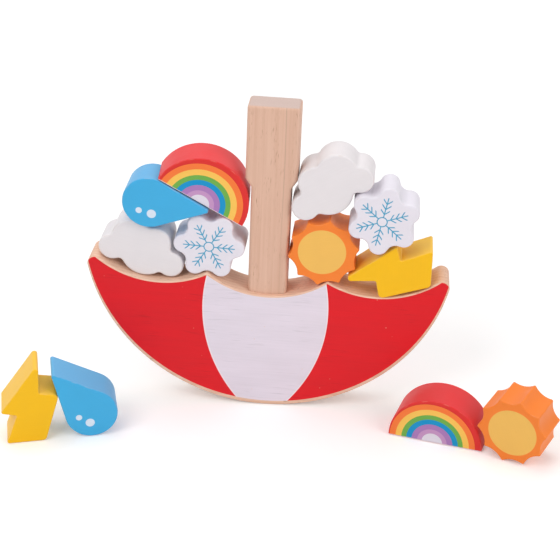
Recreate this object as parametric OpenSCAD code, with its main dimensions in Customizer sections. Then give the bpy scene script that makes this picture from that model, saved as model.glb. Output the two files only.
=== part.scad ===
// Weather balance game: a wooden rocker shaped as an upturned umbrella, with a post for its handle and
// twelve weather blocks. Eight blocks are stacked on the rocker and four stand on the table in front.
// Lengths are millimetres and angles degrees. Z is up, X runs along the rocker and -Y is the front.

/* [Rocker] */
// Radius of the round underside
rocker_r = 118; // [114:0.5:124]
// Thickness of the rocker's board
board_t = 25; // [18:0.5:28]
// Radius of the three scallops along the upper edge
scallop_r = 62.5; // [60:0.5:66]
// Distance from the middle to the centre of each outer scallop
scallop_pitch = 69.5; // [68:0.5:74]
// Height of the middle scallop's floor above the lowest point
middle_floor = 81; // [76:0.5:84]
// Height of the outer scallops' floors above the lowest point
outer_floor = 86; // [82:0.5:90]
// Radius of the rounded tips
tip_r = 5; // [3:0.25:7]
// Lean of the rocker to the right
lean = 2.3; // [-6:0.1:6]

/* [Post] */
// Width of the shank
shank_w = 24.8; // [20:0.2:28]
// Width of the head
head_w = 32.5; // [28:0.5:40]
// Depth of the post from front to back
post_d = 19; // [15:0.5:22]
// Height from the middle scallop's floor to the top of the head
post_h = 127; // [115:1:140]
// Height of the head's straight sides
head_h = 48; // [40:1:60]
// Height of the sloped step between shank and head
step_h = 6; // [4:0.5:10]

/* [Dowels] */
// Diameter of the two dowels in the foot of the post
dowel_d = 8; // [6:0.5:9]
// Length of a dowel, half of it in the post
dowel_l = 36; // [24:2:50]
// Distance between the dowels' centres
dowel_pitch = 12; // [10:0.5:14]

/* [Blocks] */
// Thickness of every block
block_t = 25; // [18:0.5:26]

/* [Cloud] */
// Radius of the cloud's broad underside
cloud_base_r = 16; // [14:0.5:18]
// Radius of the large puff
cloud_big_r = 13.6; // [12.5:0.1:14.5]
// Radius of the middle puff
cloud_mid_r = 10.8; // [10:0.1:12]
// Radius of the two end puffs
cloud_end_r = 8.7; // [8:0.1:9.5]
// Distance between the end puffs' centres
cloud_span = 38.8; // [36:0.2:41]
// Radius of the hollows between puffs
cloud_hollow_r = 3; // [2:0.5:5]

/* [Snowflake] */
// Distance from the snowflake's centre to its lobes' ends
flake_r = 22.8; // [20:0.2:25]
// Distance from the snowflake's centre to its notches
flake_notch = 17.4; // [16.5:0.1:18]
// Radius of the lobes
flake_lobe_r = 6.3; // [5.5:0.1:7]

/* [Sun] */
// Distance from the sun's centre to its points
sun_r = 22.6; // [21:0.2:25]
// Distance from the sun's centre to the hollows between points
sun_hollow = 19.8; // [18.5:0.1:20.5]
// Radius of the blunted points
sun_point_r = 1; // [0.6:0.1:1.4]
// Number of points
sun_points = 10; // [8:1:12]

/* [Raindrop] */
// Radius of the drop's round end
drop_r = 16.7; // [15:0.1:18]
// Length of the drop from round end to tip
drop_l = 54.4; // [50:0.2:60]
// Radius of the drop's tip
drop_tip_r = 1.5; // [1:0.1:3]

/* [Rainbow] */
// Radius of the half-round rainbow
rainbow_r = 30.5; // [28:0.5:33]

/* [Lightning bolt] */
// Width of the bolt's square end
bolt_w = 25; // [22:0.2:28]
// Length of the bolt from its square end to its tip
bolt_l = 56.8; // [51:0.5:60]
// Sideways run of the long edge up to the ledge nearer the tip
bolt_slant = 10.2; // [9:0.1:12]
// Sideways run of the short edge up to the ledge nearer the square end
bolt_notch = 8; // [6:0.1:9]
// Height of the ledge nearer the square end
bolt_low = 20; // [18:0.5:22]
// Height of the ledge nearer the tip
bolt_high = 32.3; // [30:0.5:36]
// Width of the ledge nearer the tip
bolt_top_ledge = 12.4; // [11:0.1:14]
// Width of the ledge nearer the square end
bolt_end_ledge = 10.2; // [9:0.1:12]
// Rise of each ledge towards the tip
bolt_rise = 2.4; // [1:0.1:4]
// Radius of the bolt's rounded corners
bolt_corner_r = 1.2; // [0.5:0.1:2]
// Radius of the two corners on the bolt's long edge
bolt_heel_r = 3; // [1:0.1:4]
// Radius of the bolt's blunt tip
bolt_tip_r = 2; // [1:0.1:2.5]

/* [Loose blocks] */
// Distance of the left pair to the left of the rocker's middle
left_pair_x = 161.5; // [150:1:180]
// Distance of the left pair in front of the rocker's board
left_pair_y = 62; // [50:0.5:80]
// Turn of the left pair towards the right
left_pair_turn = 15; // [0:0.1:30]
// Distance of the right pair to the right of the rocker's middle
right_pair_x = 109; // [100:1:120]
// Distance of the right pair in front of the rocker's board
right_pair_y = 37.5; // [34:0.5:60]
// Turn of the loose rainbow towards the left
right_pair_turn = 15; // [0:0.1:20]
// Further turn of the loose sun towards the left
sun_turn = 9.5; // [0:0.1:15]

/* [Hidden] */
// Room between a block and whatever it rests on or stands against
block_gap = 0.3;
// Room round a dowel, and under the foot of the post, for glue
glue_gap = 0.1;
// Largest distance between a curve and the straight steps that draw it
curve_sag = 0.03;
// How far joined shapes run into each other
weld = 0.02;
// A length well beyond the toy's own
reach = 500;

// Tilts of the stacked blocks in the rocker's plane, anticlockwise from the front
cloud_left_tilt = -12;
snowflake_left_tilt = -2;
raindrop_left_tilt = -5;
sun_right_tilt = 10.5;
bolt_right_tilt = 91.5;
snowflake_right_tilt = 22;
cloud_right_tilt = 30;
// Tilt of the loose raindrop, whose tip points up and to the left
raindrop_loose_tilt = 127;
// Tilt of the loose sun from standing on two points
sun_loose_tilt = 6;
// How far the left cloud, snowflake and rainbow are pushed back from the rocker's front
cloud_left_back = 4;
snowflake_left_back = 2;
rainbow_left_back = 0.8;
// Turn of the left rainbow where it lies on the raindrop, and how far it is drawn off the post
rainbow_left_turn = 4;
rainbow_left_off = 1.5;
// How far the left raindrop, the right bolt and the right snowflake stand out in front
raindrop_left_front = 1;
bolt_right_front = 1.5;
snowflake_right_front = 4;
// How far the loose sun stands in front of the loose rainbow, and beyond the place where they would meet
sun_loose_front = 1.5;
sun_loose_out = 2.4;
// How far the right bolt's tip is drawn out from the sun
bolt_right_out = 1.4;
// How far the left cloud and raindrop and the right snowflake lie beyond the middle of the outer scallop
cloud_left_out = 11;
raindrop_left_out = 6.5;
snowflake_right_out = 1.6;
// How far the left snowflake lies inside its cusp
snowflake_left_in = 0.7;
// Places of the cloud's puffs about its middle
cloud_base_at = [-2, -2.4];
cloud_big_at = [8, 4.5];
cloud_mid_at = [-6.5, 5.5];
cloud_right_end_z = -4.4;
cloud_left_end_z = -6.2;

// Heading of a vector, and the vector of length 1 along it
function heading(v) = atan2(v.y, v.x);
function unit(v) = v / norm(v);
// An outline turned about the origin, moved, or turned over
function spin(pts, a) = [for (p = pts) [p.x * cos(a) - p.y * sin(a), p.x * sin(a) + p.y * cos(a)]];
function shift(pts, v) = [for (p = pts) p + v];
function flip(pts) = [for (i = [len(pts) - 1 : -1 : 0]) [-pts[i].x, pts[i].y]];

// Points of an arc about m, without its last point
function arc(m, r, from, to) =
    let (n = max(1, ceil(abs(to - from) / (2 * acos(1 - curve_sag / r)))))
    [for (i = [0 : n - 1]) let (a = from + (to - from) * i / n) m + r * [cos(a), sin(a)]];
// The same heading as a, written so that it is next after b going round one way or the other
function after(b, a) = a < b ? a + 360 : a;
function before(b, a) = a > b ? a - 360 : a;

// Centre of the hollow of radius r that touches circles a and b, each [x, y, radius], on their outer side
function hollow_centre(a, b, r) =
    let (
        start = [a.x, a.y],
        d = [b.x, b.y] - start,
        along = (d * d + (a.z + r) ^ 2 - (b.z + r) ^ 2) / (2 * norm(d)),
        out = sqrt((a.z + r) ^ 2 - along ^ 2)
    )
    start + unit(d) * along + unit([d.y, -d.x]) * out;
// Outline of a chain of circles, in order round the shape, with hollows of radius r between them
function lobed(circles, r) =
    let (n = len(circles))
    [for (i = [0 : n - 1])
        let (
            b = circles[i],
            c = circles[(i + 1) % n],
            m = [b.x, b.y],
            h0 = hollow_centre(circles[(i + n - 1) % n], b, r),
            h1 = hollow_centre(b, c, r),
            a0 = heading(h0 - m),
            b0 = heading(m - h1)
        )
        each concat(
            arc(m, b.z, a0, after(a0, heading(h1 - m))),
            arc(h1, r, b0, before(b0, heading([c.x, c.y] - h1)))
        )];
// Circles of radius r spaced evenly in a ring that reaches out to outer
function ring(n, outer, r) =
    [for (i = [0 : n - 1]) let (a = 360 * i / n) [(outer - r) * cos(a), (outer - r) * sin(a), r]];
// Radius of the hollows in such a ring that come down to inner
function ring_hollow(n, outer, r, inner) =
    let (half = (outer - r) * sin(180 / n), depth = inner - (outer - r) * cos(180 / n))
    (half ^ 2 + depth ^ 2 - r ^ 2) / (2 * (r - depth));

// Outline of a polygon with its corners rounded, each to its own radius
function rounded(pts, radii) =
    let (n = len(pts))
    [for (i = [0 : n - 1])
        let (
            r = radii[i],
            u = unit(pts[(i + n - 1) % n] - pts[i]),
            v = unit(pts[(i + 1) % n] - pts[i]),
            half = acos(u * v) / 2,
            m = pts[i] + unit(u + v) * r / sin(half),
            a0 = heading(pts[i] + u * r / tan(half) - m),
            turn = (heading(pts[i] + v * r / tan(half) - m) - a0 + 540) % 360 - 180
        )
        each concat(arc(m, r, a0, a0 + turn), [pts[i] + v * r / tan(half)])];

// Block outlines, each about its own centre or standing on its base
cloud_outline = lobed([
    [cloud_base_at.x, cloud_base_at.y, cloud_base_r],
    [cloud_span / 2, cloud_right_end_z, cloud_end_r],
    [cloud_big_at.x, cloud_big_at.y, cloud_big_r],
    [cloud_mid_at.x, cloud_mid_at.y, cloud_mid_r],
    [-cloud_span / 2, cloud_left_end_z, cloud_end_r]
], cloud_hollow_r);
snowflake_outline = lobed(
    ring(6, flake_r, flake_lobe_r),
    ring_hollow(6, flake_r, flake_lobe_r, flake_notch)
);
sun_outline = lobed(
    ring(sun_points, sun_r, sun_point_r),
    ring_hollow(sun_points, sun_r, sun_point_r, sun_hollow)
);
drop_tip_x = drop_l - drop_r - drop_tip_r;
drop_shoulder = acos((drop_r - drop_tip_r) / drop_tip_x);
drop_outline = concat(
    arc([0, 0], drop_r, drop_shoulder, 360 - drop_shoulder),
    [drop_r * [cos(drop_shoulder), -sin(drop_shoulder)]],
    arc([drop_tip_x, 0], drop_tip_r, -drop_shoulder, drop_shoulder),
    [[drop_tip_x, 0] + drop_tip_r * [cos(drop_shoulder), sin(drop_shoulder)]]
);
rainbow_outline = concat(arc([0, 0], rainbow_r, 0, 180), [[-rainbow_r, 0]]);
bolt_outline = rounded([
    [0, 0],
    [bolt_w, 0],
    [bolt_w + bolt_slant, bolt_high],
    [bolt_w + bolt_slant - bolt_top_ledge, bolt_high + bolt_rise],
    [bolt_w + bolt_slant - bolt_top_ledge + bolt_rise / 2, bolt_l],
    [bolt_notch - bolt_end_ledge, bolt_low + bolt_rise],
    [bolt_notch, bolt_low]
], [bolt_corner_r, bolt_heel_r, bolt_heel_r, bolt_corner_r, bolt_tip_r, bolt_corner_r, bolt_corner_r]);

// Upper edge of the rocker, from the right tip to the left one
middle_centre = [0, middle_floor + scallop_r];
outer_centre = [scallop_pitch, outer_floor + scallop_r];
cusp = let (d = outer_centre - middle_centre)
    middle_centre + d / 2 + unit([d.y, -d.x]) * sqrt(scallop_r ^ 2 - d * d / 4);
rock_centre = [0, rocker_r];
// Centre of the right tip, which touches the underside from inside and the outer scallop from below
tip_centre = let (
        d = outer_centre - rock_centre,
        along = (d * d + (rocker_r - tip_r) ^ 2 - (scallop_r + tip_r) ^ 2) / (2 * norm(d))
    )
    rock_centre + unit(d) * along + unit([d.y, -d.x]) * sqrt((rocker_r - tip_r) ^ 2 - along ^ 2);
right_edge = concat(
    arc(tip_centre, tip_r, heading(tip_centre - rock_centre), heading(outer_centre - tip_centre)),
    arc(outer_centre, scallop_r, heading(tip_centre - outer_centre), before(0, heading(cusp - outer_centre))),
    arc(middle_centre, scallop_r, heading(cusp - middle_centre), -90)
);
rocker_edge = concat(right_edge, [[0, middle_floor]], flip(right_edge), [[-rocker_r, 0], [rocker_r, 0]]);
// All that lies above the scallops' centres and beyond the tips
sky = let (right = [outer_centre, tip_centre, tip_centre + unit(tip_centre - rock_centre) * reach])
    concat([middle_centre], right, [[0, 2 * reach]], flip(right));

// Heights of the post's step and top above the rocker's lowest point
post_top = middle_floor + post_h;
step_top = post_top - head_h;
step_foot = step_top - step_h;
function post_half(z) = lookup(z, [[step_foot, shank_w / 2], [step_top, head_w / 2]]);

// Distances that points can travel along d before they meet an outline
function hits(pts, outline, d) =
    [for (p = pts, i = [0 : len(outline) - 1])
        let (a = outline[i], e = outline[(i + 1) % len(outline)] - a, k = cross(d, e))
        if (k != 0)
            let (t = cross(a - p, e) / k, s = cross(a - p, d) / k)
            if (t >= 0 && s >= 0 && s <= 1) t];
// How far a block can travel along d before it meets any of the others
function travel(pts, others, d) =
    min(concat([2 * reach], [for (o = others) each concat(hits(pts, o, d), hits(o, pts, -d))]));
// A block moved from outside along d until it all but touches one of the others
function bring(pts, others, d) =
    let (start = shift(pts, -d * reach))
    shift(start, d * (travel(start, others, d) - block_gap));
function settle(pts, others) = bring(pts, others, [0, -1]);
// A block moved sideways until it all but touches the right side of the post
function hug(pts) = shift(pts, [max([for (p = pts) post_half(p.y) - p.x]) + block_gap, 0]);
// A block that rests on the others and stands against the right side of the post
function nestle(pts, others, turns = 2) =
    turns == 0 ? settle(pts, others) : nestle(hug(settle(pts, others)), others, turns - 1);
// A block that rests on the others and is moved off the right side of the post only if they meet
function settle_clear(pts, others) =
    let (first = settle(pts, others), need = max([for (p = first) post_half(p.y) - p.x]) + block_gap)
    need > 0 ? settle(shift(pts, [need, 0]), others) : first;

// A bolt that lies on the rocker with its tip tucked in beside the sun, then drawn out a little
function tuck(pts, floor, sun, turns = 3) =
    turns == 0
    ? settle(shift(pts, [bolt_right_out, 0]), [floor])
    : tuck(bring(settle(pts, [floor]), [sun], [-1, 0]), floor, sun, turns - 1);

// The stack on the right of the post, each block placed on those before it
sun_right_at = nestle(shift(spin(sun_outline, sun_right_tilt), cusp), [rocker_edge]);
bolt_right_at = tuck(
    shift(spin(flip(bolt_outline), bolt_right_tilt), [scallop_pitch + bolt_l / 2, 0]),
    rocker_edge,
    sun_right_at
);
snowflake_right_at = settle(
    shift(spin(snowflake_outline, snowflake_right_tilt), [scallop_pitch + snowflake_right_out, 0]),
    [sun_right_at, bolt_right_at]
);
cloud_right_at = nestle(
    shift(spin(cloud_outline, cloud_right_tilt), [scallop_pitch / 2, 0]),
    [sun_right_at, snowflake_right_at]
);

// The stack on the left of the post, worked out on the right and turned over
cloud_left_flip = settle(
    shift(spin(cloud_outline, -cloud_left_tilt), [scallop_pitch + cloud_left_out, 0]),
    [rocker_edge]
);
snowflake_left_flip = settle_clear(
    shift(spin(snowflake_outline, -snowflake_left_tilt), [cusp.x - snowflake_left_in, 0]),
    [rocker_edge, cloud_left_flip]
);
raindrop_left_flip = settle(
    shift(spin(flip(drop_outline), -raindrop_left_tilt), [scallop_pitch + raindrop_left_out, 0]),
    [cloud_left_flip, snowflake_left_flip]
);
// The rainbow lies flat on the raindrop's straight upper side
rainbow_left_tilt = raindrop_left_tilt - (90 - drop_shoulder);
rainbow_left_flip = nestle(
    shift(spin(rainbow_outline, -rainbow_left_tilt), [cusp.x, 0]),
    [raindrop_left_flip, snowflake_left_flip]
);
// Middle of its flat side, on the left again
rainbow_left_middle = let (ends = flip(rainbow_left_flip)) (ends[0] + ends[len(ends) - 1]) / 2;

// The loose pairs, each in the upright plane of its first block
raindrop_loose_at = bring(shift(spin(drop_outline, raindrop_loose_tilt), [0, drop_r]), [bolt_outline], [-1, 0]);
sun_stand = spin(sun_outline, 180 / sun_points - 90 + sun_loose_tilt);
sun_loose_at = bring(shift(sun_stand, [0, -min([for (p = sun_stand) p.y])]), [rainbow_outline], [-1, 0]);
sun_pivot = min([for (p = sun_loose_at) p.x]);

// Places the rocker and all that stands on it, rolled about the axis of the underside
module on_rocker() {
    translate([0, 0, rocker_r])
        rotate([0, lean, 0])
            translate([0, 0, -rocker_r])
                children();
}

// A board of thickness t with its outline in the upright plane, centred from front to back
module board(t) {
    rotate([90, 0, 0])
        linear_extrude(t, center = true)
            children();
}

// A stacked block, its front level with the rocker's or pushed back from it
module stacked(outline, back = 0) {
    on_rocker()
        translate([0, (block_t - board_t) / 2 + back, 0])
            board(block_t)
                polygon(outline);
}

// A loose block behind the front plane of the left or the right pair
module left_pair() {
    translate([-left_pair_x, -board_t / 2 - left_pair_y, 0])
        rotate([0, 0, left_pair_turn])
            translate([0, block_t / 2, 0])
                children();
}

module right_pair() {
    translate([right_pair_x, -board_t / 2 - right_pair_y, 0])
        rotate([0, 0, -right_pair_turn])
            translate([0, block_t / 2, 0])
                children();
}

// Two upright rods across the joint between rocker and post
module dowel_pair(d, l, sides = [-1, 1]) {
    for (side = sides)
        translate([side * dowel_pitch / 2, 0, middle_floor])
            cylinder(d = d, h = l, center = true, $fn = 64);
}

module rocker_profile() {
    difference() {
        translate(rock_centre)
            circle(rocker_r, $fn = 360);
        polygon(sky);
        translate(middle_centre)
            circle(scallop_r, $fn = 360);
        for (side = [-1, 1])
            translate([side * outer_centre.x, outer_centre.y])
                circle(scallop_r, $fn = 360);
    }
    for (side = [-1, 1])
        translate([side * tip_centre.x, tip_centre.y])
            circle(tip_r + weld, $fn = 64);
}

module post_profile() {
    right_side = [[shank_w / 2, 0], [shank_w / 2, step_foot], [head_w / 2, step_top], [head_w / 2, post_top]];
    difference() {
        polygon(concat(
            right_side,
            flip(right_side)
        ));
        difference() {
            translate([-head_w, -1])
                square([2 * head_w, middle_centre.y - scallop_r / 2]);
            translate(middle_centre)
                circle(scallop_r - glue_gap, $fn = 360);
        }
    }
}

module rocker() {
    color("#d92d35")
        on_rocker()
            difference() {
                board(board_t)
                    rocker_profile();
                dowel_pair(dowel_d + 2 * glue_gap, dowel_l + 2);
            }
}

module post() {
    color("#d9b39a")
        on_rocker()
            difference() {
                board(post_d)
                    post_profile();
                dowel_pair(dowel_d + 2 * glue_gap, dowel_l + 2);
            }
}

module left_dowel() {
    color("#dcb892")
        on_rocker()
            dowel_pair(dowel_d, dowel_l, [-1]);
}

module right_dowel() {
    color("#dcb892")
        on_rocker()
            dowel_pair(dowel_d, dowel_l, [1]);
}

module cloud_left() {
    color("#e3ddda")
        stacked(flip(cloud_left_flip), cloud_left_back);
}

module snowflake_left() {
    color("#e0dcdf")
        stacked(flip(snowflake_left_flip), snowflake_left_back);
}

module raindrop_left() {
    color("#45afe0")
        stacked(flip(raindrop_left_flip), -raindrop_left_front);
}

module rainbow_left() {
    color("#e2463f")
        on_rocker()
            translate([rainbow_left_middle.x, (block_t - board_t) / 2 + rainbow_left_back, rainbow_left_middle.y])
                rotate([0, -rainbow_left_tilt, 0])
                    translate([-rainbow_left_off, 0, 0])
                        rotate([0, 0, rainbow_left_turn])
                            board(block_t)
                                polygon(rainbow_outline);
}

module sun_right() {
    color("#f58232")
        stacked(sun_right_at);
}

module bolt_right() {
    color("#f6bd25")
        stacked(bolt_right_at, -bolt_right_front);
}

module snowflake_right() {
    color("#e0dcdf")
        stacked(snowflake_right_at, -snowflake_right_front);
}

module cloud_right() {
    color("#e3ddda")
        stacked(cloud_right_at);
}

module bolt_loose() {
    color("#f6bd25")
        left_pair()
            board(block_t)
                polygon(bolt_outline);
}

module raindrop_loose() {
    color("#45afe0")
        left_pair()
            board(block_t)
                polygon(raindrop_loose_at);
}

module rainbow_loose() {
    color("#e2463f")
        right_pair()
            board(block_t)
                polygon(rainbow_outline);
}

module sun_loose() {
    color("#f58232")
        right_pair()
            translate([sun_pivot + sun_loose_out, -block_t / 2 - sun_loose_front, 0])
                rotate([0, 0, -sun_turn])
                    translate([-sun_pivot, block_t / 2, 0])
                        board(block_t)
                            polygon(sun_loose_at);
}

rocker();
post();
left_dowel();
right_dowel();
cloud_left();
snowflake_left();
raindrop_left();
rainbow_left();
sun_right();
bolt_right();
snowflake_right();
cloud_right();
bolt_loose();
raindrop_loose();
rainbow_loose();
sun_loose();
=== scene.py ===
import math

import bmesh
import bpy
from mathutils import Matrix, Vector


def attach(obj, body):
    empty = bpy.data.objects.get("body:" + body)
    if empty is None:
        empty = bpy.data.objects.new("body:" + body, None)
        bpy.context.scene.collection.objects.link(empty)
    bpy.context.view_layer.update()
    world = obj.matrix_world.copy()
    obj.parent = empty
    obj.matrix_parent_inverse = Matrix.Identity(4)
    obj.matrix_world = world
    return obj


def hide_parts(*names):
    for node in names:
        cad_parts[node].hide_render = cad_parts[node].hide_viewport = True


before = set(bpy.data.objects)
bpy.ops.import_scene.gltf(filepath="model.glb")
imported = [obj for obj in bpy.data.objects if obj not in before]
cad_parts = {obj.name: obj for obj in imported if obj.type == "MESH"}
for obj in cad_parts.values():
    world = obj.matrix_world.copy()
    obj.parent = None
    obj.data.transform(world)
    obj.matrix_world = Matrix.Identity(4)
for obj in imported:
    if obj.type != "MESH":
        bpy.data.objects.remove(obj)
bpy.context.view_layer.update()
mm = 0.001
print("frame loaded:", len(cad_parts), "solids")


# sRGB hex to the linear colour that Blender's sockets take
def tone(hexTone):
    parts = [int(hexTone[i:i + 2], 16) / 255 for i in (1, 3, 5)]
    return [c / 12.92 if c <= 0.04045 else ((c + 0.055) / 1.055) ** 2.4 for c in parts] + [1.0]


# One node: its inputs in order or by name, its settings, and its stops if it is a colour ramp.
# It gives back one output, or the whole node where out is None.
def add(tree, kind, *ins, out=0, named=None, stops=None, ramp="LINEAR", **settings):
    made = tree.nodes.new("ShaderNode" + kind)
    for key, value in settings.items():
        setattr(made, key, value)
    for key, value in [*enumerate(ins), *(named or {}).items()]:
        if isinstance(value, bpy.types.NodeSocket):
            tree.links.new(value, made.inputs[key])
        elif value is not None:
            made.inputs[key].default_value = value
    if stops:
        made.color_ramp.interpolation = ramp
        ends = made.color_ramp.elements
        ends[0].position, ends[0].color = stops[0]
        ends[1].position, ends[1].color = stops[-1]
        for place, colour in stops[1:-1]:
            ends.new(place).color = colour
    return made if out is None else made.outputs[out]


colourMix = {"data_type": "RGBA", "out": 2}  # settings of a Mix node whose inputs 6 and 7 are colours


def newMaterial(name):
    material = bpy.data.materials.new(name)
    material.use_nodes = True
    material.node_tree.nodes.clear()
    return material, material.node_tree


# How the rocker stands: its rolling radius and its lean. Its own z starts at the lowest point of the round.
rockerStand = {"radius": 118.0, "lean": 2.3}


def rockerPlace():
    lean = math.radians(rockerStand["lean"])
    up = rockerStand["radius"] * mm
    return {"at": Vector((-up * math.sin(lean), 0.0, up - up * math.cos(lean))), "turn": (0.0, lean, 0.0)}


# middle of a solid's volume, added up over the triangles of its mesh
def middleOf(nodeName):
    bm = bmesh.new()
    bm.from_mesh(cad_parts[nodeName].data)
    total = 0.0
    middle = Vector()
    for face in bm.faces:
        a, b, c = [v.co for v in face.verts]
        share = a.dot(b.cross(c))
        total += share
        middle += share * (a + b + c) / 4
    bm.free()
    return middle / total


# A block's own axes, from its middle: x across, y front to back, z up. It turns on the table or leans with
# the rocker, then tilts in its own plane, then twists about its own upright.
def blockPlace(name, turn=0.0, lean=0.0, tilt=0.0, twist=0.0):
    turned = Matrix.Rotation(math.radians(turn), 3, "Z") @ Matrix.Rotation(math.radians(lean - tilt), 3, "Y")
    turned = turned @ Matrix.Rotation(math.radians(twist), 3, "Z")
    return {"at": middleOf(name), "turn": tuple(turned.to_euler("XYZ"))}


# x and z of a point, given as it is seen from the front, along the axes of a tilted block
def seenAt(x, z, tilt):
    a = math.radians(tilt)
    return x * math.cos(a) + z * math.sin(a), z * math.cos(a) - x * math.sin(a)


# position in millimetres along the piece's own axes
def ownPlace(tree, place):
    world = add(tree, "TexCoord", out="Object")
    return add(tree, "Mapping", world, place["at"], place["turn"], (mm, mm, mm), vector_type="TEXTURE")


# distance from a point of the piece's upright plane, given as x and z
def distanceFrom(tree, here, x, z):
    flat = add(tree, "VectorMath", here, (1.0, 0.0, 1.0), operation="MULTIPLY")
    return add(tree, "VectorMath", flat, (x, 0.0, z), operation="DISTANCE", out="Value")


# noise drawn out along the grain, which runs along x or z
def grainNoise(tree, here, along, wide, long, detail, rough=0.5):
    scale = {"x": (1 / long, 1 / wide, 1 / wide), "z": (1 / wide, 1 / wide, 1 / long)}[along]
    return add(
        tree, "TexNoise", add(tree, "Mapping", here, None, None, scale),
        named={"Scale": 1.0, "Detail": detail, "Roughness": rough},
    )


# How a solid's edges are eased: millimetres and degrees
easing = {"mergeWithin": 0.005, "flatWithin": 0.3, "sharpOver": 35.0, "segments": 4, "flatWeight": 80}


# a copy of a CAD solid with its sharp edges eased, standing for that solid
def easedPiece(name, nodeName, body, material, radius, keepSharp=None):
    bm = bmesh.new()
    bm.from_mesh(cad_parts[nodeName].data)
    bmesh.ops.remove_doubles(bm, verts=bm.verts, dist=easing["mergeWithin"] * mm)
    bmesh.ops.dissolve_limit(
        bm, angle_limit=math.radians(easing["flatWithin"]), use_dissolve_boundaries=False,
        verts=bm.verts, edges=bm.edges, delimit=set(),
    )
    least = math.radians(easing["sharpOver"])
    sharp = [e for e in bm.edges if len(e.link_faces) == 2 and e.calc_face_angle() > least]
    if keepSharp:
        sharp = [e for e in sharp if not keepSharp(e)]
    bmesh.ops.bevel(
        bm, geom=sharp, offset=radius * mm, offset_type="OFFSET", segments=easing["segments"], profile=0.5,
        affect="EDGES", clamp_overlap=False, material=-1, loop_slide=True,
    )
    mesh = bpy.data.meshes.new(name)
    bm.to_mesh(mesh)
    bm.free()
    for face in mesh.polygons:
        face.use_smooth = True
    mesh.materials.append(material)
    piece = bpy.data.objects.new(name, mesh)
    bpy.context.scene.collection.objects.link(piece)
    even = piece.modifiers.new("evenShading", "WEIGHTED_NORMAL")  # keeps flats flat beside eased edges
    even.weight = easing["flatWeight"]
    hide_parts(nodeName)
    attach(piece, body)


# Pale hardwood such as beech or rubberwood, sanded and matt: faint bands and growth rings, long thin
# streaks, and short dark flecks in clumps, where the pores are a little open. Lengths are millimetres. The
# flecks are drawn about twice as wide as they are so that they show.
woodLook = {
    "pale": "#e3bfa8", "tan": "#d3a88e", "dark": "#97684c",
    "paleAt": 0.34, "tanAt": 0.66, "noiseRough": 0.6,
    "bandWide": 7.0, "bandLong": 160.0,
    "streakWide": 0.9, "streakLong": 46.0, "streakTell": 0.45,
    "ringGap": 2.8, "ringBend": 3.0, "bendScale": 0.1, "ringTell": 0.22, "pith": (55.0, 70.0, -40.0),
    "fleckWide": 0.5, "fleckLong": 6.5, "fleckFrom": 0.6, "fleckTo": 0.72, "fleckTell": 0.75,
    "clumpWide": 5.0, "clumpLong": 26.0, "clumpFrom": 0.5, "clumpTo": 0.66, "clumpLeast": 0.08,
    "ior": 1.4, "roughPores": 0.7, "roughFlat": 0.55, "poresAt": -0.4, "flatAt": 0.8,
    "bump": 0.35, "bumpDeep": 0.12,
}


# colour and height of the wood at a place, with its grain along x or z
def woodFigure(tree, here, along, look):
    rough = look["noiseRough"]
    streaks = grainNoise(tree, here, along, look["streakWide"], look["streakLong"], 4.0, rough)
    bands = grainNoise(tree, here, along, look["bandWide"], look["bandLong"], 2.0, rough)
    # growth rings about a pith outside the board: lines along its sides, arcs on its ends
    rings = add(
        tree, "TexWave", add(tree, "Mapping", here, look["pith"]), out="Fac",
        wave_type="RINGS", rings_direction=along.upper(), wave_profile="SAW",
        named={
            "Scale": math.pi / (10 * look["ringGap"]),  # at a scale of 1 the rings are pi / 10 apart
            "Distortion": look["ringBend"], "Detail": 2.0, "Detail Scale": look["bendScale"],
        },
    )
    bandTell = 1.0 - look["streakTell"] - look["ringTell"]
    figure = add(tree, "Math", streaks, look["streakTell"], operation="MULTIPLY")
    figure = add(tree, "Math", bands, bandTell, figure, operation="MULTIPLY_ADD")
    figure = add(tree, "Math", rings, look["ringTell"], figure, operation="MULTIPLY_ADD")
    body = add(
        tree, "ValToRGB", figure,
        stops=[(look["paleAt"], tone(look["pale"])), (look["tanAt"], tone(look["tan"]))],
    )
    flecks = grainNoise(tree, here, along, look["fleckWide"], look["fleckLong"], 1.0, rough)
    flecks = add(tree, "MapRange", flecks, look["fleckFrom"], look["fleckTo"], 0.0, 1.0)
    clumps = grainNoise(tree, here, along, look["clumpWide"], look["clumpLong"], 1.0, rough)
    clumps = add(tree, "MapRange", clumps, look["clumpFrom"], look["clumpTo"], look["clumpLeast"], 1.0)
    flecks = add(tree, "Math", flecks, clumps, operation="MULTIPLY")
    told = add(tree, "Math", flecks, look["fleckTell"], operation="MULTIPLY")
    colour = add(tree, "Mix", **colourMix, named={0: told, 6: body, 7: tone(look["dark"])})
    height = add(tree, "Math", flecks, -1.0, streaks, operation="MULTIPLY_ADD")
    return colour, height


# colour with a thin wavy line where two boards are glued, clearer higher up, and the second board darker
def gluedColour(tree, here, colour, glue):
    own = add(tree, "SeparateXYZ", here, out=None)
    bend = add(tree, "TexNoise", here, named={"Scale": 1 / glue["bendLong"], "Detail": 1.0})
    x = add(tree, "Math", bend, glue["bend"], own.outputs["X"], operation="MULTIPLY_ADD")
    x = add(tree, "Math", x, glue["x"] + 0.5 * glue["bend"], operation="SUBTRACT")  # noise averages 0.5
    beyond = add(tree, "MapRange", x, -glue["soft"], glue["soft"], 1.0, glue["second"])
    off = add(tree, "Math", x, operation="ABSOLUTE")
    line = add(tree, "MapRange", off, 0.0, glue["half"], glue["tell"], 0.0)
    fade = add(tree, "MapRange", own.outputs["Z"], glue["faint"], glue["clear"], glue["faintest"], 1.0)
    line = add(tree, "Math", line, fade, operation="MULTIPLY")
    value = add(tree, "Math", beyond, line, operation="SUBTRACT")
    return add(tree, "HueSaturation", named={"Value": value, "Color": colour})


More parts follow.
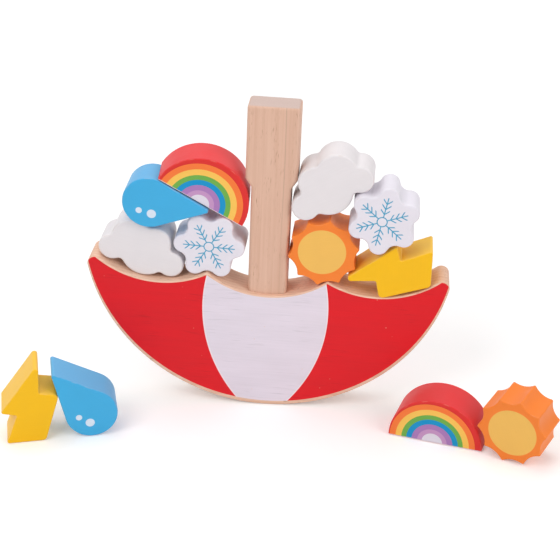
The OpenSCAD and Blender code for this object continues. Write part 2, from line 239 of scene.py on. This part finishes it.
# colour with end grain above a height, dotted with pores, and greyer there as a painted sheen on the top
def endGrainAndSheenColour(tree, here, colour, end):
    pores = add(tree, "TexNoise", here, named={"Scale": 1 / end["poreSize"], "Detail": 2.0})
    value = add(
        tree, "MapRange", pores, end["poreFrom"], end["poreTo"], 1 - end["poreTell"], 1 + end["poreTell"],
    )
    cutGrainAndSheen = add(tree, "HueSaturation", named={"Value": value, "Color": tone(end["tone"])})
    z = add(tree, "SeparateXYZ", here, out="Z")
    cut = add(tree, "MapRange", z, end["z"] - end["soft"], end["z"] + end["soft"], 0.0, 1.0)
    return add(tree, "Mix", **colourMix, named={0: cut, 6: colour, 7: cutGrainAndSheen})


def bareWood(name, place, along, look, glue=None, end=None):
    material, tree = newMaterial(name)
    here = ownPlace(tree, place)
    colour, height = woodFigure(tree, here, along, look)
    if glue:
        colour = gluedColour(tree, here, colour, glue)
    if end:
        colour = endGrainAndSheenColour(tree, here, colour, end)
    rough = add(
        tree, "MapRange", height, look["poresAt"], look["flatAt"], look["roughPores"], look["roughFlat"],
    )
    normal = add(
        tree, "Bump",
        named={"Height": height, "Strength": look["bump"], "Distance": look["bumpDeep"] * mm},
    )
    shader = add(
        tree, "BsdfPrincipled",
        named={"Base Color": colour, "Roughness": rough, "IOR": look["ior"], "Normal": normal},
    )
    add(tree, "OutputMaterial", shader, out=None)
    return material


# Sprayed or screen-printed water paint on sanded wood: satin, the grain just telling through it as streaks
# and short dashes, pinholes here and there, and the wood tone along the eased edges, which is worn paint
# and a painted highlight. Lengths are millimetres.
paintLook = {
    "grainWide": 1.1, "grainLong": 34.0, "grainTell": 0.02, "noiseRough": 0.6,
    "dashWide": 0.5, "dashLong": 7.0, "dashFrom": 0.61, "dashTo": 0.74, "dashTell": 0.03,
    "clumpSize": 12.0, "clumpFrom": 0.47, "clumpTo": 0.62, "clumpLeast": 0.1,
    "mottleWide": 14.0, "mottleLong": 14.0, "mottleTell": 0.03,
    "pinholeGap": 9.0, "pinholeSize": 0.35, "pinholeEdge": 0.7,  # the soft edge ends at 0.7 of the size
    "pinholeFrom": 0.55, "pinholeTo": 0.95, "pinholeTell": 0.45, "pinholeDeep": 0.8,
    "halfDepth": 12.5,  # half the depth of the board and of each block
    "roundAt": 0.3,  # the middle of an eased edge, in radii in from the face
    # the wood tone along the eased edges is worn paint and also a painted highlight
    "edgeWearAndHighlight": 0.3, "rubWide": 0.28, "rubSize": 6.0, "rubFrom": 0.46, "rubTo": 0.66,
    "peelSize": 1.3, "peelTell": 0.3, "bump": 0.25, "bumpDeep": 0.08,
    "ior": 1.36, "roughLow": 0.4, "roughHigh": 0.66, "lowAt": 0.3, "highAt": 1.2,
}
# a thinner coat over rougher wood: longer dashes in clumps, broad darker patches and more pinholes
boardPaint = {
    **paintLook, "grainTell": 0.045, "dashWide": 0.8, "dashLong": 14.0, "dashTell": 0.13, "clumpSize": 24.0,
    "mottleWide": 13.0, "mottleLong": 45.0, "mottleTell": 0.085, "pinholeGap": 6.5, "pinholeSize": 0.65,
}
printSoft = 0.08  # half the soft edge of a print
faceSoft = 0.03  # half the soft edge between a printed face and the sides


# y of a place from 0 in the middle of the board to its half depth at the printed faces
def depthOf(tree, here):
    return add(tree, "Math", add(tree, "SeparateXYZ", here, out="Y"), operation="ABSOLUTE")


# 1 on the printed front and back, 0 on the sides, parting on the eased edge
def onFace(tree, here, radius, paint):
    edge = paint["halfDepth"] - paint["roundAt"] * radius
    return add(tree, "MapRange", depthOf(tree, here), edge - faceSoft, edge + faceSoft, 0.0, 1.0)


# how far the paint is gone at pinholes: small round spots, in some of the cells of a wide net
def paintPinholes(tree, here, paint):
    cells = add(tree, "TexVoronoi", here, out=None, named={"Scale": 1 / paint["pinholeGap"]})
    size = paint["pinholeSize"] / paint["pinholeGap"]
    away = cells.outputs["Distance"]
    near = add(tree, "MapRange", away, 0.5 * size, paint["pinholeEdge"] * size, 1.0, 0.0)
    lot = add(tree, "SeparateColor", cells.outputs["Color"], out="Red")
    chosen = add(tree, "MapRange", lot, paint["pinholeFrom"], paint["pinholeTo"], 0.0, paint["pinholeTell"])
    return add(tree, "Math", near, chosen, operation="MULTIPLY")


# how far the wood tone shows along the middle of the eased edge, in patches: worn paint and a painted
# highlight
def paintEdgeWearAndHighlight(tree, here, radius, paint):
    middle = paint["halfDepth"] - paint["roundAt"] * radius
    off = add(tree, "Math", depthOf(tree, here), middle, operation="SUBTRACT")
    off = add(tree, "Math", off, operation="ABSOLUTE")
    wornAndLitEdge = add(tree, "MapRange", off, 0.0, paint["rubWide"] * radius, paint["edgeWearAndHighlight"], 0.0)
    patches = add(tree, "TexNoise", here, named={"Scale": 1 / paint["rubSize"], "Detail": 4.0})
    patches = add(tree, "MapRange", patches, paint["rubFrom"], paint["rubTo"], 0.0, 1.0)
    return add(tree, "Math", wornAndLitEdge, patches, operation="MULTIPLY")


def paintedWood(material, tree, here, colour, radius, wood, paint, bare=None):
    grain = grainNoise(tree, here, "x", paint["grainWide"], paint["grainLong"], 3.0, paint["noiseRough"])
    mottle = grainNoise(tree, here, "x", paint["mottleWide"], paint["mottleLong"], 3.0)
    dashes = grainNoise(tree, here, "x", paint["dashWide"], paint["dashLong"], 1.0)
    dashes = add(tree, "MapRange", dashes, paint["dashFrom"], paint["dashTo"], 0.0, 1.0)
    clumps = add(tree, "TexNoise", here, named={"Scale": 1 / paint["clumpSize"], "Detail": 2.0})
    clumps = add(tree, "MapRange", clumps, paint["clumpFrom"], paint["clumpTo"], paint["clumpLeast"], 1.0)
    dashes = add(tree, "Math", dashes, clumps, operation="MULTIPLY")
    # value of the paint: grain and mottling about 1, less where a dash shows
    least = 1 - paint["grainTell"] - paint["mottleTell"]
    value = add(tree, "Math", grain, 2 * paint["grainTell"], least, operation="MULTIPLY_ADD")
    value = add(tree, "Math", mottle, 2 * paint["mottleTell"], value, operation="MULTIPLY_ADD")
    value = add(tree, "Math", dashes, -paint["dashTell"], value, operation="MULTIPLY_ADD")
    told = add(tree, "HueSaturation", named={"Value": value, "Color": colour})
    # bare wood where the paint is gone or was never laid; along the eased edges it is worn paint and a
    # painted highlight
    pinhole = paintPinholes(tree, here, paint)
    bareAndHighlight = add(tree, "Math", paintEdgeWearAndHighlight(tree, here, radius, paint), pinhole, operation="MAXIMUM")
    if bare is not None:
        bareAndHighlight = add(tree, "Math", bareAndHighlight, bare, operation="MAXIMUM")
    woodColour, _ = woodFigure(tree, here, "x", wood)
    surface = add(tree, "Mix", **colourMix, named={0: bareAndHighlight, 6: told, 7: woodColour})
    # height: the grain and a fine orange peel, sunk at the pinholes
    peel = add(tree, "TexNoise", here, named={"Scale": 1 / paint["peelSize"], "Detail": 1.0})
    height = add(tree, "Math", peel, paint["peelTell"], operation="MULTIPLY")
    height = add(tree, "Math", grain, 1 - paint["peelTell"], height, operation="MULTIPLY_ADD")
    height = add(tree, "Math", pinhole, -paint["pinholeDeep"], height, operation="MULTIPLY_ADD")
    normal = add(
        tree, "Bump",
        named={"Height": height, "Strength": paint["bump"], "Distance": paint["bumpDeep"] * mm},
    )
    rough = add(tree, "Math", mottle, bareAndHighlight, operation="ADD")
    rough = add(
        tree, "MapRange", rough, paint["lowAt"], paint["highAt"], paint["roughLow"], paint["roughHigh"],
    )
    shader = add(
        tree, "BsdfPrincipled",
        named={"Base Color": surface, "Roughness": rough, "IOR": paint["ior"], "Normal": normal},
    )
    add(tree, "OutputMaterial", shader, out=None)


# The rocker: red side panels and a white middle one screen-printed on both faces, inside a bare margin.
# Places are x and z on the rocker.
rocker = {
    "edge": 0.9, "margin": 1.1,
    "printR": 117.2, "printZ": 120.0,  # the print's lower edge, whose margin widens towards the middle
    "scallopR": 62.5, "middleScallop": (0.0, 143.5), "outerScallops": [(-69.5, 148.5), (69.5, 148.5)],
    "tipSoftness": 6.0,
    "panelR": 105.0, "panels": [(64.35, 70.4), (-65.1, 70.4)], "panelLine": 0.35,
    "red": "#df101d", "white": "#e4dae5", "line": "#f3e6ea",
    "wood": {**woodLook, "pale": "#efcab2", "tan": "#e0b297"},
}


# how far a place lies inside the print: above its lower edge and below each scallop, rounded at the two tips
def insidePrint(tree, here):
    upper = rocker["scallopR"] + rocker["margin"]
    lower = distanceFrom(tree, here, 0.0, rocker["printZ"])
    lower = add(tree, "Math", rocker["printR"], lower, operation="SUBTRACT")
    below = distanceFrom(tree, here, *rocker["middleScallop"])
    below = add(tree, "Math", below, upper, operation="SUBTRACT")
    inside = add(tree, "Math", lower, below, operation="MINIMUM")
    for x, z in rocker["outerScallops"]:
        below = add(tree, "Math", distanceFrom(tree, here, x, z), upper, operation="SUBTRACT")
        below = add(tree, "Math", below, lower, rocker["tipSoftness"], operation="SMOOTH_MIN")
        inside = add(tree, "Math", inside, below, operation="MINIMUM")
    return inside


def buildRocker():
    material, tree = newMaterial("printed_hardwood_board")
    here = ownPlace(tree, rockerPlace())
    printed = add(tree, "MapRange", insidePrint(tree, here), -printSoft, printSoft, 0.0, 1.0)
    # white inside both panel circles, and a thin pale line where the panels meet
    left, right = [distanceFrom(tree, here, x, z) for x, z in rocker["panels"]]
    far = add(tree, "Math", left, right, operation="MAXIMUM")
    beyond = add(tree, "Math", far, rocker["panelR"], operation="SUBTRACT")
    white = add(tree, "MapRange", beyond, -printSoft, printSoft, 1.0, 0.0)
    off = add(tree, "Math", beyond, operation="ABSOLUTE")
    half = rocker["panelLine"]
    line = add(tree, "MapRange", off, half - printSoft, half + printSoft, 1.0, 0.0)
    panels = add(
        tree, "Mix", **colourMix, named={0: white, 6: tone(rocker["red"]), 7: tone(rocker["white"])},
    )
    colour = add(tree, "Mix", **colourMix, named={0: line, 6: panels, 7: tone(rocker["line"])})
    face = onFace(tree, here, rocker["edge"], boardPaint)
    covered = add(tree, "Math", printed, face, operation="MULTIPLY")
    bare = add(tree, "Math", 1.0, covered, operation="SUBTRACT")
    paintedWood(material, tree, here, colour, rocker["edge"], rocker["wood"], boardPaint, bare)
    easedPiece("umbrella_rocker", "rocker", "rocker", material, rocker["edge"])


buildRocker()
print("rocker dressed")

# The post: two boards glued side by side, with well rounded corners, and the two dowels inside its joint
post = {
    "edge": 2.1,
    "sharpBelow": 86.0,  # height over the table up to which edges stay sharp, where the foot is glued on
    "wood": {
        **woodLook, "pale": "#e4bda7", "tan": "#d6ab93",
        "streakWide": 1.5, "streakLong": 70.0, "ringTell": 0.06,
    },
    "glue": {
        "x": 7.6, "half": 0.45, "soft": 0.1, "tell": 0.24, "second": 0.985, "bend": 2.0, "bendLong": 120.0,
        "faint": 120.0, "clear": 165.0, "faintest": 0.35,
    },
    "end": {
        # the top's greyer end-grain tone is partly painted sheen
        "z": 207.5, "soft": 0.3, "tone": "#cbb3aa",
        "poreSize": 0.7, "poreFrom": 0.3, "poreTo": 0.7, "poreTell": 0.04,
    },
}


def atPostFoot(edge):
    return max(v.co.z for v in edge.verts) < post["sharpBelow"] * mm


def buildPost():
    place = rockerPlace()
    material = bareWood("sanded_beech", place, "z", post["wood"], post["glue"], post["end"])
    easedPiece("umbrella_post", "post", "rocker", material, post["edge"], atPostFoot)
    for name in ("left_dowel", "right_dowel"):
        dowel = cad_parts[name]
        dowel.data.materials.clear()
        dowel.data.materials.append(bareWood("birch_" + name, place, "z", woodLook))


buildPost()
print("post dressed")

# turns of the loose blocks on the table, and the lean of those on the rocker
leftPair = {"turn": 15.0}
rightPair = {"turn": -15.0}
stacked = {"lean": rockerStand["lean"]}

# Clouds: plain white paint, soft to the eye, with wide rounded edges
cloud = {
    "edge": 1.4, "white": "#e6e0e2",
    "blocks": {"cloud_left": {**stacked, "tilt": -12.0}, "cloud_right": {**stacked, "tilt": 30.0}},
}


def buildClouds():
    for name, stand in cloud["blocks"].items():
        material, tree = newMaterial("white_water_paint_" + name)
        here = ownPlace(tree, blockPlace(name, **stand))
        paintedWood(material, tree, here, tone(cloud["white"]), cloud["edge"], woodLook, paintLook)
        easedPiece(name + "_block", name, name, material, cloud["edge"])


buildClouds()
print("clouds dressed")

# Snowflakes: cooler white paint, with a six-armed flake printed in thin blue lines on each face
snowflake = {
    "edge": 1.2, "white": "#e6e1ea", "blue": "#46a0c4",
    "ringR": 3.1, "armR": 16.2, "lineHalf": 0.36,
    "firstVee": 5.3, "veeGap": 3.5, "vees": 3, "veeReach": 2.5,
    "blocks": {"snowflake_left": {**stacked, "tilt": -2.0}, "snowflake_right": {**stacked, "tilt": 22.0}},
    # each print's x and z on its block, and its turn
    "prints": {"snowflake_left": (0.0, 0.0, 0.0), "snowflake_right": (-1.0, 0.6, -2.5)},
}


# distance from the nearest line of the printed flake
def fromFlakeLines(tree, here, x, z, turn):
    s = snowflake
    sixth = math.pi / 3
    own = add(tree, "SeparateXYZ", here, out=None)
    across = add(tree, "Math", own.outputs["X"], x, operation="SUBTRACT")
    up = add(tree, "Math", own.outputs["Z"], z, operation="SUBTRACT")
    r = distanceFrom(tree, here, x, z)
    # every arm folded onto one: u runs out along the arm, v across it
    angle = add(tree, "Math", up, across, operation="ARCTAN2")
    angle = add(tree, "Math", angle, sixth / 2 - math.radians(turn), operation="ADD")
    angle = add(tree, "Math", angle, sixth, operation="FLOORED_MODULO")
    angle = add(tree, "Math", angle, sixth / 2, operation="SUBTRACT")
    angle = add(tree, "Math", angle, operation="ABSOLUTE")
    u = add(tree, "Math", r, add(tree, "Math", angle, operation="COSINE"), operation="MULTIPLY")
    v = add(tree, "Math", r, add(tree, "Math", angle, operation="SINE"), operation="MULTIPLY")
    # the ring
    fromRing = add(tree, "Math", r, s["ringR"], operation="SUBTRACT")
    fromRing = add(tree, "Math", fromRing, operation="ABSOLUTE")
    # the arm's line, from the ring to the arm's end
    beyond = add(tree, "Math", u, s["armR"], operation="SUBTRACT")
    short = add(tree, "Math", s["ringR"], u, operation="SUBTRACT")
    fromArm = add(tree, "Math", beyond, short, operation="MAXIMUM")
    fromArm = add(tree, "Math", v, fromArm, operation="MAXIMUM")
    # the nearest of the arm's vees, which slope at 45 degrees
    along = add(tree, "Math", u, v, operation="SUBTRACT")
    along = add(tree, "Math", along, s["firstVee"], operation="SUBTRACT")
    nearest = add(tree, "Math", along, s["veeGap"], operation="DIVIDE")
    nearest = add(tree, "Clamp", add(tree, "Math", nearest, operation="ROUND"), 0.0, s["vees"] - 1.0)
    fromVee = add(tree, "Math", nearest, -s["veeGap"], along, operation="MULTIPLY_ADD")
    fromVee = add(tree, "Math", fromVee, operation="ABSOLUTE")
    fromVee = add(tree, "Math", fromVee, math.sqrt(0.5), operation="MULTIPLY")
    past = add(tree, "Math", v, s["veeReach"], operation="SUBTRACT")
    fromVee = add(tree, "Math", fromVee, past, operation="MAXIMUM")
    least = add(tree, "Math", fromArm, fromVee, operation="MINIMUM")
    return add(tree, "Math", fromRing, least, operation="MINIMUM")


def buildSnowflakes():
    s = snowflake
    for name, stand in s["blocks"].items():
        material, tree = newMaterial("printed_white_paint_" + name)
        here = ownPlace(tree, blockPlace(name, **stand))
        least = fromFlakeLines(tree, here, *s["prints"][name])
        half = s["lineHalf"]
        line = add(tree, "MapRange", least, half - printSoft, half + printSoft, 1.0, 0.0)
        line = add(tree, "Math", line, onFace(tree, here, s["edge"], paintLook), operation="MULTIPLY")
        colour = add(tree, "Mix", **colourMix, named={0: line, 6: tone(s["white"]), 7: tone(s["blue"])})
        paintedWood(material, tree, here, colour, s["edge"], woodLook, paintLook)
        easedPiece(name + "_block", name, name, material, s["edge"])


buildSnowflakes()
print("snowflakes dressed")

# Suns: orange paint, with a paler yellow disc printed on each face
sun = {
    "edge": 0.8, "orange": "#f5822f", "yellow": "#f1bc5c",
    "blocks": {"sun_right": {**stacked, "tilt": 10.5}, "sun_loose": {"turn": -24.5, "tilt": -66.0}},
    # each disc's x and z from the block's middle as seen from the front, and its radius
    "discs": {"sun_right": (-1.0, 0.8, 15.2), "sun_loose": (0.7, -0.4, 15.7)},
}


def buildSuns():
    for name, stand in sun["blocks"].items():
        material, tree = newMaterial("orange_water_paint_" + name)
        here = ownPlace(tree, blockPlace(name, **stand))
        x, z, r = sun["discs"][name]
        away = distanceFrom(tree, here, *seenAt(x, z, stand["tilt"]))
        disc = add(tree, "MapRange", away, r - printSoft, r + printSoft, 1.0, 0.0)
        disc = add(tree, "Math", disc, onFace(tree, here, sun["edge"], paintLook), operation="MULTIPLY")
        colour = add(
            tree, "Mix", **colourMix, named={0: disc, 6: tone(sun["orange"]), 7: tone(sun["yellow"])},
        )
        paintedWood(material, tree, here, colour, sun["edge"], woodLook, paintLook)
        easedPiece(name + "_block", name, name, material, sun["edge"])


buildSuns()
print("suns dressed")

# Raindrops: blue paint, with two white spots printed on each face; the sides get a paler blue, a painted
# sheen
raindrop = {
    # the sides' paler blue is painted sheen, not a paint of their own
    "edge": 0.9, "blue": "#40ade0", "side": "#64b1e2", "white": "#d9e4f2",
    "blocks": {"raindrop_left": {**stacked, "tilt": -5.0}, "raindrop_loose": {**leftPair, "tilt": 127.0}},
    # each spot's x and z from the block's middle as seen from the front, and its radius
    "spots": {
        "raindrop_left": [(-11.6, -4.8, 2.0), (-3.6, -6.7, 2.9)],
        "raindrop_loose": [(-4.7, -6.6, 2.0), (2.1, -11.0, 2.9)],
    },
}


def buildRaindrops():
    for name, stand in raindrop["blocks"].items():
        material, tree = newMaterial("blue_water_paint_" + name)
        here = ownPlace(tree, blockPlace(name, **stand))
        colour = tone(raindrop["blue"])
        for x, z, r in raindrop["spots"][name]:
            away = distanceFrom(tree, here, *seenAt(x, z, stand["tilt"]))
            spot = add(tree, "MapRange", away, r - printSoft, r + printSoft, 1.0, 0.0)
            colour = add(tree, "Mix", **colourMix, named={0: spot, 6: colour, 7: tone(raindrop["white"])})
        face = onFace(tree, here, raindrop["edge"], paintLook)
        # painted sheen: the sides take the paler blue, the faces the printed colour
        colour = add(tree, "Mix", **colourMix, named={0: face, 6: tone(raindrop["side"]), 7: colour})
        paintedWood(material, tree, here, colour, raindrop["edge"], woodLook, paintLook)
        easedPiece(name + "_block", name, name, material, raindrop["edge"])


buildRaindrops()
print("raindrops dressed")

# Rainbows: red paint, with the bands printed on each face and a thin pale line along the base,
# where the print stops short
rainbow = {
    "edge": 0.9, "radius": 30.5, "red": "#e4373a",
    "paleBaseLine": "#ece4ec", "paleBaseLineHigh": 0.75,
    # outer radius and tone of each band
    "bands": [
        (6.7, "#e2dae6"), (9.7, "#c594c2"), (13.3, "#ab7ab8"), (16.8, "#0091ca"),
        (20.1, "#6cac4a"), (23.9, "#f8c358"), (27.8, "#f57a36"), (32.0, "#dc2c29"),
    ],
    "blocks": {"rainbow_left": {**stacked, "tilt": -29.8, "twist": 4.0}, "rainbow_loose": rightPair},
    # each print's x and z from the middle of the base
    "prints": {"rainbow_left": (-0.5, -1.1), "rainbow_loose": (-1.6, 0.0)},
}


def buildRainbows():
    baseZ = -4 * rainbow["radius"] / (3 * math.pi)  # a half disc's base lies this far below its middle
    stop = baseZ + rainbow["paleBaseLineHigh"]
    outers, bandTones = zip(*rainbow["bands"])
    most = outers[-1]
    starts = [0.0] + [outer / most for outer in outers[:-1]]
    stops = [(start, tone(band)) for start, band in zip(starts, bandTones)]
    for name, stand in rainbow["blocks"].items():
        material, tree = newMaterial("printed_red_paint_" + name)
        here = ownPlace(tree, blockPlace(name, **stand))
        x, z = rainbow["prints"][name]
        r = add(tree, "Math", distanceFrom(tree, here, x, baseZ + z), most, operation="DIVIDE")
        bands = add(tree, "ValToRGB", r, ramp="CONSTANT", stops=stops)
        up = add(tree, "SeparateXYZ", here, out="Z")
        short = add(tree, "MapRange", up, stop - printSoft, stop + printSoft, 1.0, 0.0)
        bands = add(tree, "Mix", **colourMix, named={0: short, 6: bands, 7: tone(rainbow["paleBaseLine"])})
        face = onFace(tree, here, rainbow["edge"], paintLook)
        colour = add(tree, "Mix", **colourMix, named={0: face, 6: tone(rainbow["red"]), 7: bands})
        paintedWood(material, tree, here, colour, rainbow["edge"], woodLook, paintLook)
        easedPiece(name + "_block", name, name, material, rainbow["edge"])


buildRainbows()
print("rainbows dressed")

# Lightning bolts: yellow paint, with a paler yellow on the sides as painted light
bolt = {
    # the sides' paler yellow is painted light, not a paint of their own
    "edge": 0.9, "yellow": "#f7be0a", "side": "#f9c540",
    "blocks": {"bolt_right": {**stacked, "tilt": 91.5}, "bolt_loose": leftPair},
}


def buildBolts():
    for name, stand in bolt["blocks"].items():
        material, tree = newMaterial("yellow_water_paint_" + name)
        here = ownPlace(tree, blockPlace(name, **stand))
        # painted light: the sides take the paler yellow, the faces the plain yellow
        face = onFace(tree, here, bolt["edge"], paintLook)
        colour = add(
            tree, "Mix", **colourMix, named={0: face, 6: tone(bolt["side"]), 7: tone(bolt["yellow"])},
        )
        paintedWood(material, tree, here, colour, bolt["edge"], woodLook, paintLook)
        easedPiece(name + "_block", name, name, material, bolt["edge"])


buildBolts()
print("bolts dressed")

# Studio, in metres: a white paper floor, with soft light from above and behind, from the upper left and from
# the right. The floor's glow, only for what is seen, lifts it to white and leaves the shadow. It grows
# further out, where the lamps fall off.
studio = {
    "floorR": 8.0, "floorSides": 96, "floorDrop": 0.0002, "floorTone": "#f2f2f2",
    "glow": 0.2, "farGlow": 0.65, "farFrom": 0.6, "farTo": 2.0,
    "ambient": 0.4, "backdrop": 1.0,
    "lamps": [
        {"name": "top_softbox", "at": (-0.2, 0.5, 1.6), "size": 1.6, "power": 10.5},
        {"name": "key_softbox", "at": (-0.9, -1.1, 1.5), "size": 1.3, "power": 14.5},
        {"name": "fill_softbox", "at": (1.3, -0.9, 0.9), "size": 1.2, "power": 10.0},
    ],
    "aim": (0.0, 0.0, 0.09),
}


# 1 for a ray straight from the camera, or one mirrored or let through, and 0 for the rest
def seenRays(tree):
    rays = add(tree, "LightPath", out=None).outputs
    seen = add(tree, "Math", rays["Is Camera Ray"], rays["Is Glossy Ray"], operation="MAXIMUM")
    return add(tree, "Math", seen, rays["Is Transmission Ray"], operation="MAXIMUM")


def buildFloor():
    bm = bmesh.new()
    bmesh.ops.create_circle(bm, cap_ends=True, segments=studio["floorSides"], radius=studio["floorR"])
    bmesh.ops.translate(bm, verts=bm.verts, vec=(0.0, 0.0, -studio["floorDrop"]))
    mesh = bpy.data.meshes.new("studio_floor")
    bm.to_mesh(mesh)
    bm.free()
    floor = bpy.data.objects.new("studio_floor", mesh)
    bpy.context.scene.collection.objects.link(floor)
    material, tree = newMaterial("matt_white_paper")
    away = add(tree, "VectorMath", add(tree, "TexCoord", out="Object"), operation="LENGTH", out="Value")
    glow = add(tree, "MapRange", away, studio["farFrom"], studio["farTo"], studio["glow"], studio["farGlow"])
    glow = add(tree, "Math", seenRays(tree), glow, operation="MULTIPLY")
    glow = add(tree, "Emission", named={"Strength": glow})
    paper = add(tree, "BsdfDiffuse", named={"Color": tone(studio["floorTone"])})
    add(tree, "OutputMaterial", add(tree, "AddShader", glow, paper), out=None)
    mesh.materials.append(material)


def buildLight():
    world = bpy.data.worlds.new("white_room")
    world.use_nodes = True
    bpy.context.scene.world = world
    tree = world.node_tree
    tree.nodes.clear()
    strength = add(tree, "MapRange", seenRays(tree), 0.0, 1.0, studio["ambient"], studio["backdrop"])
    add(tree, "OutputWorld", add(tree, "Background", (1.0, 1.0, 1.0, 1.0), strength), out=None)
    for lamp in studio["lamps"]:
        light = bpy.data.lights.new(lamp["name"], "AREA")
        light.shape, light.size, light.energy = "DISK", lamp["size"], lamp["power"]
        held = bpy.data.objects.new(lamp["name"], light)
        held.location = lamp["at"]
        held.rotation_euler = (Vector(studio["aim"]) - held.location).to_track_quat("-Z", "Y").to_euler()
        bpy.context.scene.collection.objects.link(held)


# The photograph's view, in millimetres: azimuth 5 and elevation 26.9 degrees, from 930
camera = {"at": (77.85, -826.4, 507.0), "aim": (6.27, 0.0, 86.55), "lens": 92.7, "sensor": 36.0}


def buildCamera():
    data = bpy.data.cameras.new("photo_camera")
    data.lens, data.sensor_width = camera["lens"], camera["sensor"]
    held = bpy.data.objects.new("photo_camera", data)
    held.location = Vector(camera["at"]) * mm
    look = Vector(camera["aim"]) * mm - held.location
    held.rotation_euler = look.to_track_quat("-Z", "Y").to_euler()
    bpy.context.scene.collection.objects.link(held)
    bpy.context.scene.camera = held


buildFloor()
buildLight()
buildCamera()
bpy.context.scene.view_settings.view_transform = "Standard"
print("studio and camera ready")
